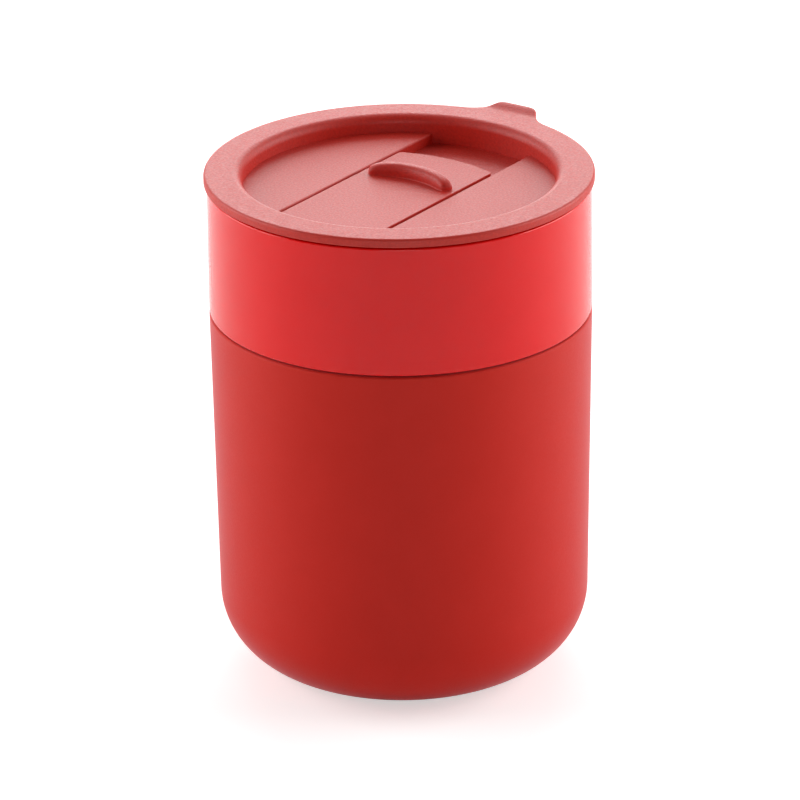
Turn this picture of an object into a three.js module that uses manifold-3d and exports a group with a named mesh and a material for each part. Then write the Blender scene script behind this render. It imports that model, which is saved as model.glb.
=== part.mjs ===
// A ceramic travel mug: a glazed cup in a soft grip sleeve, closed by a push-in lid with a
// sealing ring and a sliding drink cover. Sizes are in millimetres and angles in degrees.
// The mug stands on the plane z = 0 with the cup's axis on Z. People drink at the -Y side,
// and the lid's pull tab points along +Y.
import * as THREE from "three";
import { mergeVertices } from "three/addons/utils/BufferGeometryUtils.js";
import Module from "manifold-3d";

// Clearances
const seatGap = 0.3; // between pieces that sit on each other
const runGap = 0.3; // round the slider's running faces

// Cup
const bandRadius = 42; // outside of the glazed band at the seam
const bandDraft = 0.25; // the band leans in by this angle towards the brim
const cupHeight = 111.9; // from the table to the brim
const seamHeight = 82.85; // from the table to the seam below the band
const cupWall = 3.3; // ceramic behind the sleeve, at the seam
const cupFloor = 5.2;
const boreDraft = 0.7;
const boreCornerRadius = 11;
const brimOuterRounding = 0.8;
const brimInnerRounding = 1.8;
const seamRounding = 0.5; // on both edges of the seam
const seamGap = 0.4; // open height of the seam
const footRingRadius = 23; // middle of the ring that the bare cup stands on
const footRingWidth = 5;
const footRecess = 1; // depth of the hollow inside the foot ring

// Grip sleeve
const sleeveWall = 1.8;
const sleeveFloor = 2.4;
const sleeveDraft = 0.78;
const baseCornerRadius = 16.7;

// Lid
const rimOverhang = 0.55; // how far the rim stands out past the band
const rimThickness = 2.2;
const rimTopRounding = 0.6;
const rimFootRounding = 0.3;
const plugClearance = 1; // between the plug and the cup's bore, bridged by the gasket
const plugWall = 1.65; // between the well and the outside of the plug
const skirtWall = 2.4; // below the lands
const wellDepth = 3.95; // from the rim's top down to the lands
const wellLipRounding = 2; // from the rim's top into the well
const leastWellWall = 0.3; // upright wall that the lip's rounding always leaves
const lidFloor = 2; // plate under the lands and the channel
const skirtDrop = 2.2; // how far the plug's skirt reaches below the channel's underside
const skirtChamfer = 0.6;

// Channel, rails and drink hole
const channelWidth = 26;
const channelDepth = 2.4; // from the lands down to the channel's floor
const railDepth = 1.1; // undercut of each side wall
const railWall = 1.6; // plastic beside each rail
const drinkHoleWidth = 17;
const drinkHoleMargin = 4.75; // floor left between the hole and the well's wall
const drinkHoleReveal = 1; // floor left between the hole and the opened slider

// Slider
const sliderTravel = 13.75;
const sliderSideGap = 0.65;
const sliderEndGap = 0.4;
const sliderEdgeRounding = 0.5;
const tongueHeight = 1;
const tongueFrontSetback = 6; // from the plate's front corners
const tongueBackSetback = 15; // from the plate's back corners
const gripLength = 21;
const gripWidth = 4.9;
const gripHeight = 3.1;
const gripBow = 2.1; // how far the middle of the grip bows towards the tab
const gripSetback = 14.65; // from the plate's back end to the middle of the grip
const gripBluntness = 4; // 2 gives the grip an elliptic plan, more gives it blunter ends
const gripCrown = 2.5; // 2 gives the crest an elliptic arch, more keeps it high towards its ends

// Pull tab
const tabWidth = 12;
const tabReach = 4.75; // past the rim's edge
const tabRootRounding = 9.8; // where the tab flares into the rim
const tabCornerRounding = 3.3;
const tabLipHeight = 0.75;
const tabLipRun = 3.7; // length of the raised lip, measured from the tab's end
const tabLipCrest = 0.5; // level top of the lip
const tabLipRounding = 0.35;

// Gasket
const grooveHeight = 3.4;
const grooveDepth = 0.9;
const grooveFoot = 1.1; // skirt left below the groove
const gasketBand = 0.7; // thickness of the ring behind its lips
const gasketLips = 2;
const gasketLipRoot = 0.9;
const gasketLipTip = 0.45;
const gasketLipRise = 0.45; // each lip leans up by this much

// Facets
const roundSteps = 60; // round the cup's axis
const arcSteps = 3; // half the facets of each rounding
const gripSteps = 24; // along the grip
const girthSteps = 16; // round the grip
const weld = 1e-4; // vertices this close are one

const quarter = Math.PI / 2;
const slopeOf = (degrees) => Math.tan(THREE.MathUtils.degToRad(degrees));

// Radii of the cup and sleeve. The sleeve, its seat and the bore are drafted walls, each
// given by its radius at the seam.
const sleeveSlope = slopeOf(sleeveDraft);
const boreSlope = slopeOf(boreDraft);
const sleeveInside = bandRadius - sleeveWall;
const seatRadius = sleeveInside - seatGap;
const boreAtSeam = seatRadius - cupWall;
const boreAt = (z) => boreAtSeam + boreSlope * (z - seamHeight);
const bandTopRadius = bandRadius - slopeOf(bandDraft) * (cupHeight - seamHeight);
const cupBottom = sleeveFloor + seatGap;
const cupFloorTop = cupBottom + cupFloor;

// Heights of the lid, from its top down.
const rimUnderside = cupHeight + seatGap;
const lidTop = rimUnderside + rimThickness;
const landTop = lidTop - wellDepth;
const channelFloor = landTop - channelDepth;
const landUnderside = landTop - lidFloor;
const troughUnderside = channelFloor - lidFloor;
const skirtBottom = troughUnderside - skirtDrop;
const grooveBottom = skirtBottom + grooveFoot;
const grooveTop = grooveBottom + grooveHeight;

// Radii and widths of the lid.
const rimRadius = bandRadius + rimOverhang;
const boreAtPlug = boreAt(skirtBottom);
const plugRadius = boreAtPlug - plugClearance;
const wellRadius = plugRadius - plugWall;
const skirtInside = plugRadius - skirtWall;
const grooveRadius = plugRadius - grooveDepth;
const wellLip = Math.min(wellLipRounding, wellDepth - leastWellWall);
const channelHalf = channelWidth / 2;
const railHalf = channelHalf + railDepth;
const railHeight = tongueHeight + 2 * runGap;
const troughHalf = railHalf + railWall;
const troughReach = (skirtInside + grooveRadius) / 2;
const drinkHoleLength = sliderTravel - drinkHoleMargin - drinkHoleReveal;
const drinkHoleRounding = Math.min(drinkHoleLength, drinkHoleWidth) / 2;
const drinkHoleY = drinkHoleMargin + drinkHoleLength / 2 - wellRadius;

// The slider's plate. Both ends are arcs that follow the well's wall: the front one when the
// drink hole is closed, the back one when it is open.
const sliderHalf = channelHalf - sliderSideGap;
const sliderEndRadius = wellRadius - sliderEndGap;
const sliderCornerY = Math.sqrt(sliderEndRadius ** 2 - sliderHalf ** 2);
const sliderBottom = channelFloor + runGap;
const sliderThickness = landTop - sliderBottom;
const tongueHalf = railHalf - runGap;
const tongueFront = tongueFrontSetback - sliderCornerY;
const tongueBack = sliderCornerY - sliderTravel - tongueBackSetback;
const gripMiddle = sliderEndRadius - sliderTravel - gripSetback;

const wasm = await Module();
wasm.setup();

// The closed surface of a geometry as a solid that can be joined and cut.
function solidOf(geometry) {
  const bare = geometry.clone();
  bare.deleteAttribute("normal");
  bare.deleteAttribute("uv");
  const merged = mergeVertices(bare, weld);
  const surface = new wasm.Mesh({
    numProp: 3,
    vertProperties: merged.attributes.position.array,
    triVerts: new Uint32Array(merged.index.array),
  });
  return new wasm.Manifold(surface);
}

// A solid's surface as a geometry.
function geometryOf(solid) {
  const surface = solid.getMesh();
  const geometry = new THREE.BufferGeometry();
  geometry.setAttribute("position", new THREE.BufferAttribute(surface.vertProperties, 3));
  geometry.setIndex(new THREE.BufferAttribute(surface.triVerts, 1));
  geometry.computeVertexNormals();
  return geometry;
}

// A profile of radius and height turned about the cup's axis.
function revolve(profile) {
  const turned = new THREE.LatheGeometry(profile.getPoints(arcSteps), roundSteps);
  return turned.rotateX(quarter);
}

// A plan outline raised from one height to another.
function raise(outline, bottom, top) {
  const options = { depth: top - bottom, bevelEnabled: false, curveSegments: 2 * arcSteps };
  return new THREE.ExtrudeGeometry(outline, options).translate(0, 0, bottom);
}

// A disc about the cup's axis, faceted as every revolved piece is.
function disc(radius, bottom, top) {
  const profile = new THREE.Path();
  profile.moveTo(0, bottom);
  profile.lineTo(radius, bottom);
  profile.lineTo(radius, top);
  profile.lineTo(0, top);
  return solidOf(revolve(profile));
}

// A block centred on the plane x = 0.
function block(halfWidth, front, back, bottom, top) {
  const box = new THREE.BoxGeometry(2 * halfWidth, back - front, top - bottom);
  return solidOf(box.translate(0, (front + back) / 2, (bottom + top) / 2));
}

// The rounded foot of a drafted wall. The wall has the given radius at the seam, and an arc
// that touches both the wall and the floor joins them.
function heelOf(radiusAtSeam, slope, floor, arcRadius) {
  const lean = Math.atan(slope);
  const centreZ = floor + arcRadius;
  const wallRadius = radiusAtSeam - slope * (seamHeight - centreZ);
  return { x: wallRadius - arcRadius / Math.cos(lean), z: centreZ, radius: arcRadius, lean };
}

const heelUp = (path, heel) => path.absarc(heel.x, heel.z, heel.radius, -quarter, -heel.lean, false);
const heelDown = (path, heel) => path.absarc(heel.x, heel.z, heel.radius, -heel.lean, -quarter, true);

// Cup: foot ring, heel, sleeve seat, shoulder at the seam, band, brim, bore and floor.
function ceramicCup() {
  const heelRadius = baseCornerRadius - sleeveWall - seatGap;
  const heel = heelOf(seatRadius, sleeveSlope, cupBottom, heelRadius);
  const bore = heelOf(boreAtSeam, boreSlope, cupFloorTop, boreCornerRadius);
  const ringInner = footRingRadius - footRingWidth / 2;
  const ringOuter = Math.min(footRingRadius + footRingWidth / 2, heel.x);
  const shoulder = seamHeight + seamGap / 2;
  const profile = new THREE.Path();
  profile.moveTo(0, cupBottom + footRecess);
  profile.lineTo(ringInner - footRecess, cupBottom + footRecess);
  profile.lineTo(ringInner, cupBottom);
  profile.lineTo(ringOuter, cupBottom);
  heelUp(profile, heel);
  profile.lineTo(seatRadius, shoulder);
  profile.lineTo(bandRadius - seamRounding, shoulder);
  profile.absarc(bandRadius - seamRounding, shoulder + seamRounding, seamRounding, -quarter, 0, false);
  const brimX = bandTopRadius - brimOuterRounding;
  profile.absarc(brimX, cupHeight - brimOuterRounding, brimOuterRounding, 0, quarter, false);
  const boreX = boreAt(cupHeight - brimInnerRounding) + brimInnerRounding;
  profile.absarc(boreX, cupHeight - brimInnerRounding, brimInnerRounding, quarter, Math.PI, false);
  heelDown(profile, bore);
  profile.lineTo(0, cupFloorTop);
  return revolve(profile);
}

// Grip sleeve: a drafted wall with a large round base corner and a closed floor.
function gripSleeve() {
  const outside = heelOf(bandRadius, sleeveSlope, 0, baseCornerRadius);
  const inside = heelOf(sleeveInside, sleeveSlope, sleeveFloor, baseCornerRadius - sleeveWall);
  const top = seamHeight - seamGap / 2;
  const profile = new THREE.Path();
  profile.moveTo(0, 0);
  profile.lineTo(outside.x, 0);
  heelUp(profile, outside);
  profile.absarc(bandRadius - seamRounding, top - seamRounding, seamRounding, 0, quarter, false);
  profile.lineTo(sleeveInside, top);
  heelDown(profile, inside);
  profile.lineTo(0, sleeveFloor);
  return revolve(profile);
}

// The lid without its channel: rim, well, plug, gasket groove and skirt.
function lidShell() {
  const profile = new THREE.Path();
  profile.moveTo(0, landUnderside);
  profile.lineTo(skirtInside, landUnderside);
  profile.lineTo(skirtInside, skirtBottom);
  profile.lineTo(plugRadius - skirtChamfer, skirtBottom);
  profile.lineTo(plugRadius, skirtBottom + skirtChamfer);
  profile.lineTo(plugRadius, grooveBottom);
  profile.lineTo(grooveRadius, grooveBottom);
  profile.lineTo(grooveRadius, grooveTop);
  profile.lineTo(plugRadius, grooveTop);
  profile.lineTo(plugRadius, rimUnderside);
  const footX = rimRadius - rimFootRounding;
  profile.absarc(footX, rimUnderside + rimFootRounding, rimFootRounding, -quarter, 0, false);
  const edgeX = rimRadius - rimTopRounding;
  profile.absarc(edgeX, lidTop - rimTopRounding, rimTopRounding, 0, quarter, false);
  profile.absarc(wellRadius + wellLip, lidTop - wellLip, wellLip, quarter, Math.PI, false);
  profile.lineTo(wellRadius, landTop);
  profile.lineTo(0, landTop);
  return solidOf(revolve(profile));
}

// The tab's outline from above: two round corners, each joined to the rim by a flare, an arc
// that touches both the corner's arc and the rim's edge.
function tabPlan() {
  const corner = Math.min(tabCornerRounding, tabWidth / 2);
  const cornerX = tabWidth / 2 - corner;
  const cornerY = rimRadius + tabReach - corner;
  const cornerAway = Math.hypot(cornerX, cornerY);
  const rootAway = rimRadius + tabRootRounding;
  const apart = corner + tabRootRounding;
  const along = (cornerAway ** 2 + rootAway ** 2 - apart ** 2) / (2 * cornerAway);
  const aside = Math.sqrt(rootAway ** 2 - along ** 2);
  const rootX = (along * cornerX + aside * cornerY) / cornerAway;
  const rootY = (along * cornerY - aside * cornerX) / cornerAway;
  const flare = Math.atan2(rootY, rootX);
  const flank = Math.atan2(rootY - cornerY, rootX - cornerX);
  const flareX = Math.cos(flare) * rimRadius;
  const inner = wellRadius + wellLip;
  const plan = new THREE.Shape();
  plan.moveTo(flareX, inner);
  plan.absarc(rootX, rootY, tabRootRounding, flare + Math.PI, flank + Math.PI, true);
  plan.absarc(cornerX, cornerY, corner, flank, quarter, false);
  plan.absarc(-cornerX, cornerY, corner, quarter, Math.PI - flank, false);
  plan.absarc(-rootX, rootY, tabRootRounding, -flank, -flare, true);
  plan.lineTo(-flareX, inner);
  return plan;
}

// The tab's side view: a plate as thick as the rim, with a lip that swells up gently at its end.
function tabSide() {
  const end = rimRadius + tabReach;
  const swellStart = end - tabLipRun;
  const swellTop = end - tabLipCrest;
  const bend = ((swellTop - swellStart) ** 2 + tabLipHeight ** 2) / (4 * tabLipHeight);
  const bendAngle = Math.acos(1 - tabLipHeight / (2 * bend));
  const crest = lidTop + tabLipHeight;
  const side = new THREE.Shape();
  side.moveTo(wellRadius + wellLip, rimUnderside);
  side.lineTo(end, rimUnderside);
  side.absarc(end - tabLipRounding, crest - tabLipRounding, tabLipRounding, 0, quarter, false);
  side.absarc(swellTop, crest - bend, bend, quarter, quarter + bendAngle, false);
  side.absarc(swellStart, lidTop + bend, bend, bendAngle - quarter, -quarter, true);
  side.lineTo(wellRadius + wellLip, lidTop);
  return side;
}

function pullTab() {
  const plan = solidOf(raise(tabPlan(), rimUnderside - rimThickness, lidTop + 2 * tabLipHeight));
  const side = raise(tabSide(), -rimRadius, rimRadius);
  side.rotateX(quarter).rotateZ(quarter);
  return plan.intersect(solidOf(side));
}

// The drink hole, an oblong with round ends.
function drinkHole() {
  const offset = drinkHoleWidth / 2 - drinkHoleRounding;
  const outline = new THREE.Shape();
  outline.absarc(offset, drinkHoleY, drinkHoleRounding, -quarter, quarter, false);
  outline.absarc(-offset, drinkHoleY, drinkHoleRounding, quarter, 3 * quarter, false);
  return solidOf(raise(outline, troughUnderside - lidFloor, landTop));
}

// Lid: the shell with a trough under it, in which the channel, its rails and the hole are cut.
function lidBody() {
  const span = rimRadius;
  const troughBlock = block(troughHalf, -span, span, troughUnderside, landUnderside + lidFloor / 2);
  const trough = disc(troughReach, troughUnderside, landTop).intersect(troughBlock);
  const channelBlock = block(channelHalf, -span, span, channelFloor, lidTop);
  const channel = disc(wellRadius, channelFloor, landTop + channelDepth).intersect(channelBlock);
  const railFront = tongueFront - runGap;
  const railBack = tongueBack + sliderTravel + runGap;
  const rails = block(railHalf, railFront, railBack, channelFloor, channelFloor + railHeight);
  const whole = lidShell().add(trough).add(pullTab());
  return geometryOf(whole.subtract(channel).subtract(rails).subtract(drinkHole()));
}

// Gasket: a band in the plug's groove with leaning lips that reach for the bore.
function lidGasket() {
  const inside = grooveRadius + seatGap;
  const outside = inside + gasketBand;
  const reach = boreAtPlug - seatGap;
  const bottom = grooveBottom + seatGap;
  const top = grooveTop - seatGap;
  const pitch = (top - bottom) / gasketLips;
  const profile = new THREE.Path();
  profile.moveTo(inside, bottom);
  profile.lineTo(outside, bottom);
  for (let lip = 0; lip < gasketLips; lip += 1) {
    const middle = bottom + pitch * (lip + 0.5);
    profile.lineTo(outside, middle - gasketLipRoot / 2);
    profile.lineTo(reach, middle + gasketLipRise - gasketLipTip / 2);
    profile.lineTo(reach, middle + gasketLipRise + gasketLipTip / 2);
    profile.lineTo(outside, middle + gasketLipRoot / 2);
  }
  profile.lineTo(outside, top);
  profile.lineTo(inside, top);
  profile.lineTo(inside, bottom);
  return revolve(profile);
}

// The slider's outline from above: parallel sides between two arcs.
function sliderPlan() {
  const spread = Math.asin(sliderHalf / sliderEndRadius);
  const plan = new THREE.Shape();
  plan.absarc(0, 0, sliderEndRadius, -quarter - spread, spread - quarter, false);
  plan.absarc(0, -sliderTravel, sliderEndRadius, quarter - spread, quarter + spread, false);
  return plan;
}

// A round arch: 1 in the middle and 0 at both ends, -1 and 1. Power 2 makes it a half circle.
const arch = (along, power) => Math.max(0, 1 - Math.abs(along) ** power) ** (1 / power);

// The finger grip: a ridge with an arched crest and blunt ends, bowed towards the tab. It is a
// ball drawn out along X, given its width and height, and bent round an upright axis.
function fingerGrip() {
  const half = gripLength / 2;
  const sunk = sliderThickness / 2;
  const bowRadius = (half ** 2 + gripBow ** 2) / (2 * gripBow);
  const bowAngle = Math.asin(half / bowRadius);
  const ridge = new THREE.SphereGeometry(1, girthSteps, gripSteps).rotateZ(quarter);
  const points = ridge.attributes.position;
  for (let i = 0; i < points.count; i += 1) {
    const along = points.getX(i);
    const girth = arch(along, 2) || 1;
    const across = (points.getY(i) / girth) * arch(along, gripBluntness) * (gripWidth / 2);
    const upward = (points.getZ(i) / girth) * arch(along, gripCrown);
    const height = upward * (upward > 0 ? gripHeight : sunk);
    const angle = along * bowAngle;
    const reach = bowRadius + across;
    const y = gripMiddle - bowRadius + reach * Math.cos(angle);
    points.setXYZ(i, reach * Math.sin(angle), y, landTop + height);
  }
  return solidOf(ridge);
}

// Slider: an eased plate level with the lands, tongues for the rails, and the finger grip.
function lidSlider() {
  const plate = new THREE.ExtrudeGeometry(sliderPlan(), {
    depth: sliderThickness - 2 * sliderEdgeRounding,
    bevelThickness: sliderEdgeRounding,
    bevelSize: sliderEdgeRounding,
    bevelOffset: -sliderEdgeRounding,
    bevelSegments: 2,
    curveSegments: 4 * arcSteps,
  });
  plate.translate(0, 0, sliderBottom + sliderEdgeRounding);
  const tongues = block(tongueHalf, tongueFront, tongueBack, sliderBottom, sliderBottom + tongueHeight);
  return geometryOf(solidOf(plate).add(tongues).add(fingerGrip()));
}

// A named piece with its own finish.
function piece(name, geometry, color, roughness) {
  const material = new THREE.MeshStandardMaterial({ color, roughness, metalness: 0 });
  const mesh = new THREE.Mesh(geometry, material);
  mesh.name = name;
  return mesh;
}

const mug = new THREE.Group();
mug.add(piece("ceramic_cup", ceramicCup(), 0xcc2f31, 0.2));
mug.add(piece("grip_sleeve", gripSleeve(), 0xa82a22, 0.75));
mug.add(piece("lid_body", lidBody(), 0xcf5f5b, 0.55));
mug.add(piece("lid_gasket", lidGasket(), 0xb8433c, 0.7));
mug.add(piece("lid_slider", lidSlider(), 0xcf5f5b, 0.55));

export default mug;
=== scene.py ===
"""Looks of a ceramic travel mug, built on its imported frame.

A glazed cup stands in a soft grip sleeve and is closed by a moulded lid, which carries a sealing
ring and a sliding drink cover. Lengths are in metres, +Z is up, and +Y points at the lid's tab.
"""
import logging
import math
from dataclasses import dataclass, field
from enum import Enum
from typing import Iterable, Optional

import bmesh
import bpy
from mathutils import Matrix, Quaternion, Vector


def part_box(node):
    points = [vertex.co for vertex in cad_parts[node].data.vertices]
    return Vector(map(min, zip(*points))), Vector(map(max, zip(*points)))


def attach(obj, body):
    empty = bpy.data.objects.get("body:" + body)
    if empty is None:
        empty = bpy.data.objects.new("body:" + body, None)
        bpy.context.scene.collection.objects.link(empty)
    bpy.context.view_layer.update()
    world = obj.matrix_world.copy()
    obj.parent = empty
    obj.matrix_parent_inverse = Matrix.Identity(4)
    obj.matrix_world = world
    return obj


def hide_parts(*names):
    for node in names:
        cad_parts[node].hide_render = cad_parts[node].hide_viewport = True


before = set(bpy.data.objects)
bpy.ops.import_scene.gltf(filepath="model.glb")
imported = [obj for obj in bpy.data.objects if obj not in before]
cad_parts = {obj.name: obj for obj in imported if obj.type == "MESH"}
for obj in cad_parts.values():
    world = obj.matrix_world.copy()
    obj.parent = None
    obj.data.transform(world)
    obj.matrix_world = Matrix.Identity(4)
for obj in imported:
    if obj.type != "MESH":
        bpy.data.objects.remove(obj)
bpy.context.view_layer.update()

MM = 0.001
WELD = 1e-6
LEVEL = 2e-6
FACET_SLACK = 1e-5
X_AXIS = Vector((1, 0, 0))
Y_AXIS = Vector((0, 1, 0))
Z_AXIS = Vector((0, 0, 1))
ROUND_STEPS = 240
ARC_STEPS = 8
EDGE_LAYER = "edge_share"

log = logging.getLogger("travel_mug")

Colour = tuple[float, float, float, float]
Span = tuple[float, float]

WHITE: Colour = (1, 1, 1, 1)
NOISE_SPAN: Span = (0.3, 0.7)
# Spread of the patchy edge tone: wear on rubber and plastic, partly a painted highlight on the
# glaze.
EDGE_WEAR_AND_HIGHLIGHT_SPAN: Span = (0.3, 0.6)
LEAST_EDGE_WEAR_AND_HIGHLIGHT = 0.25


class Node(Enum):
    """CAD nodes that the pieces stand for."""

    CUP = "ceramic_cup"
    SLEEVE = "grip_sleeve"
    LID = "lid_body"
    GASKET = "lid_gasket"
    SLIDER = "lid_slider"


class Body(Enum):
    """Bodies that the pieces move with."""

    CUP = "cup"
    LID = "lid"
    SLIDER = "slider"


class Slot(Enum):
    """Material slots of the record."""

    GLAZE = "cup_glaze"
    SLEEVE = "sleeve_silicone"
    LID = "lid_plastic"
    GASKET = "gasket_silicone"
    SLIDER = "slider_plastic"


class Plane(Enum):
    """Plane that a chain of edges is drawn in."""

    PROFILE = (0.0, -1.0, 0.0)
    PLAN = (0.0, 0.0, 1.0)


class Side(Enum):
    """Left and right half of the lid, as seen from the drinking side."""

    LEFT = -1.0
    RIGHT = 1.0


@dataclass(frozen=True)
class Extent:
    """Lowest and highest corner of a CAD node at rest."""

    low: Vector
    high: Vector

    @classmethod
    def of(cls, node: Node) -> "Extent":
        """Read the corners of one node from the frame."""
        low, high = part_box(node.value)
        return cls(low, high)


@dataclass(frozen=True)
class Heel:
    """Arc that joins a drafted wall to a level floor, in radius and height."""

    centre_r: float
    centre_z: float
    radius: float
    draft: float

    @classmethod
    def fit(cls, wall: Span, draft: float, floor: float, radius: float) -> "Heel":
        """Fit the arc to a wall and a floor.

        Args:
            wall: Radius and height of one point of the wall.
            draft: Degrees by which the wall opens upwards.
            floor: Height of the floor.
            radius: Radius of the arc.

        Returns:
            The arc that touches both.
        """
        centre_z = floor + radius
        lean = math.radians(draft)
        wall_r = wall[0] - math.tan(lean) * (wall[1] - centre_z)
        return cls(wall_r - radius / math.cos(lean), centre_z, radius, draft)

    def climb(self, pen: "Pen") -> None:
        """Draw the arc from the floor up to the wall."""
        pen.line(self.centre_r, self.centre_z - self.radius)
        pen.arc(self.centre_r, self.centre_z, 90 - self.draft, 3 * ARC_STEPS)

    def descend(self, pen: "Pen") -> None:
        """Draw the arc from the wall down to the floor.

        Args:
            pen: Pen that comes down the wall.
        """
        lean = math.radians(self.draft)
        pen.line(
            self.centre_r + self.radius * math.cos(lean),
            self.centre_z - self.radius * math.sin(lean),
        )
        pen.arc(self.centre_r, self.centre_z, self.draft - 90, 3 * ARC_STEPS)


@dataclass
class Pen:
    """Draws a chain of edges, as a profile of radius and height or as a plan at one height."""

    mesh: bmesh.types.BMesh
    plane: Plane = Plane.PROFILE
    height: float = 0.0
    tip: Optional[bmesh.types.BMVert] = None

    def place(self, u: float, v: float) -> Vector:
        """Turn two lengths in the pen's plane into a point."""
        return Vector((u, 0, v)) if self.plane is Plane.PROFILE else Vector((u, v, self.height))

    def line(self, u: float, v: float) -> None:
        """Start the chain at a point, or run straight on to it.

        Args:
            u: First length of the point.
            v: Second length of the point.
        """
        if self.tip is None:
            self.tip = self.mesh.verts.new(self.place(u, v))
        else:
            self.tip = bmesh.ops.extrude_vert_indiv(self.mesh, verts=[self.tip])["verts"][0]
            self.tip.co = self.place(u, v)

    def arc(self, u: float, v: float, degrees: float, steps: int = ARC_STEPS) -> None:
        """Swing on about a centre.

        Args:
            u: First length of the centre.
            v: Second length of the centre.
            degrees: Angle of the swing, counter-clockwise where it is positive.
            steps: Edges along the arc.
        """
        swing = bmesh.ops.spin(
            self.mesh, geom=[self.tip], cent=self.place(u, v), axis=self.plane.value,
            angle=math.radians(degrees), steps=steps, use_merge=False, use_duplicate=False,
        )
        self.tip = next(g for g in swing["geom_last"] if isinstance(g, bmesh.types.BMVert))


def wires(mesh: bmesh.types.BMesh) -> list[bmesh.types.BMEdge]:
    """List the edges that no face uses yet."""
    return [edge for edge in mesh.edges if edge.is_wire]


def with_verts(
    edges: Iterable[bmesh.types.BMEdge]
) -> list[bmesh.types.BMEdge | bmesh.types.BMVert]:
    """List edges together with their vertices."""
    chain = list(edges)
    return chain + list({vert for edge in chain for vert in edge.verts})


def weld(mesh: bmesh.types.BMesh) -> None:
    """Merge vertices that lie on each other."""
    bmesh.ops.remove_doubles(mesh, verts=mesh.verts[:], dist=WELD)


def turn(mesh: bmesh.types.BMesh) -> None:
    """Turn the drawn profile right round the cup's axis.

    Args:
        mesh: Mesh that holds the profile.
    """
    bmesh.ops.spin(
        mesh, geom=with_verts(wires(mesh)), cent=(0, 0, 0), axis=(0, 0, 1), angle=2 * math.pi,
        steps=ROUND_STEPS, use_merge=True, use_duplicate=False,
    )
    weld(mesh)


def close_outline(mesh: bmesh.types.BMesh) -> bmesh.types.BMFace:
    """Fill the drawn outline with one face."""
    weld(mesh)
    return bmesh.ops.contextual_create(mesh, geom=wires(mesh))["faces"][0]


def push(mesh: bmesh.types.BMesh, face: bmesh.types.BMFace, shift: Vector) -> bmesh.types.BMFace:
    """Extrude one face.

    Args:
        mesh: Mesh that holds the face.
        face: Face to extrude. It is left in place only where nothing else joins it.
        shift: Way that the new face moves.

    Returns:
        The new face.
    """
    alone = all(len(edge.link_faces) == 1 for edge in face.edges)
    made = bmesh.ops.extrude_face_region(mesh, geom=[face])["geom"]
    moved = [g for g in made if isinstance(g, bmesh.types.BMVert)]
    bmesh.ops.translate(mesh, verts=moved, vec=shift)
    if not alone:
        bmesh.ops.delete(mesh, geom=[face], context="FACES_ONLY")
    return next(g for g in made if isinstance(g, bmesh.types.BMFace))


def soften(
    mesh: bmesh.types.BMesh, edges: Iterable[bmesh.types.BMEdge], offset: float, segments: int
) -> None:
    """Round edges off with a bevel.

    Args:
        mesh: Mesh that holds the edges.
        edges: Edges to round.
        offset: Width of the rounding on each side of an edge.
        segments: Faces across the rounding.
    """
    bmesh.ops.bevel(
        mesh, geom=list(edges), offset=offset, offset_type="OFFSET", affect="EDGES",
        segments=segments, profile=0.5, material=-1, clamp_overlap=True,
    )


def is_level(part: bmesh.types.BMEdge | bmesh.types.BMFace, height: float) -> bool:
    """Tell whether an edge or a face lies flat at one height."""
    return all(abs(vert.co.z - height) < LEVEL for vert in part.verts)


def faces_level(mesh: bmesh.types.BMesh, height: float) -> list[bmesh.types.BMFace]:
    """List the faces that lie flat at one height."""
    return [face for face in mesh.faces if is_level(face, height)]


def middle_level(mesh: bmesh.types.BMesh, height: float) -> bmesh.types.BMFace:
    """Find the flat face at one height that lies nearest the middle, along X."""
    return min(faces_level(mesh, height), key=lambda f: abs(f.calc_center_median().x))


def rims_level(mesh: bmesh.types.BMesh, height: float) -> list[bmesh.types.BMEdge]:
    """List the open edges that lie at one height."""
    return [edge for edge in mesh.edges if edge.is_boundary and is_level(edge, height)]


def fill_level(mesh: bmesh.types.BMesh, height: float) -> None:
    """Fill the flat area between the open edges at one height.

    Args:
        mesh: Mesh that holds the edges.
        height: Height of the area.
    """
    weld(mesh)
    bmesh.ops.triangle_fill(
        mesh, use_beauty=True, use_dissolve=False, edges=rims_level(mesh, height), normal=(0, 0, 1)
    )


def cut(
    mesh: bmesh.types.BMesh, faces: list[bmesh.types.BMFace], axis: Vector, place: float,
    clear: bool = False,
) -> None:
    """Cut some faces square to an axis.

    Args:
        mesh: Mesh that holds the faces.
        faces: Faces to cut.
        axis: Axis that the cut is square to.
        place: Place of the cut along the axis.
        clear: Whether what lies before the cut is taken away.
    """
    geom = faces + with_verts({edge for face in faces for edge in face.edges})
    bmesh.ops.bisect_plane(
        mesh, geom=geom, dist=WELD, plane_co=axis * place, plane_no=axis, clear_inner=clear
    )


def arch(along: float, power: float) -> float:
    """Height of a round arch that is 1 in the middle and 0 at both ends, -1 and 1."""
    return max(0, 1 - abs(along) ** power) ** (1 / power)


def side_pocket(
    mesh: bmesh.types.BMesh, wall_x: float, span_y: Span, top: float, depth: float
) -> None:
    """Push the lower part of an upright side wall in or out.

    Args:
        mesh: Mesh that holds the wall.
        wall_x: Place of the wall along X.
        span_y: Ends of the pocket along Y.
        top: Height that the pocket reaches up to.
        depth: Way along X that the pocket is pushed.
    """

    def wall() -> list[bmesh.types.BMFace]:
        """List the wall's faces as they are now."""
        return [f for f in mesh.faces if all(abs(v.co.x - wall_x) < LEVEL for v in f.verts)]

    for y in span_y:
        cut(mesh, wall(), Y_AXIS, y)
    cut(mesh, wall(), Z_AXIS, top)
    for face in wall():
        middle = face.calc_center_median()
        if span_y[0] < middle.y < span_y[1] and middle.z < top:
            push(mesh, face, Vector((depth, 0, 0)))


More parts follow.
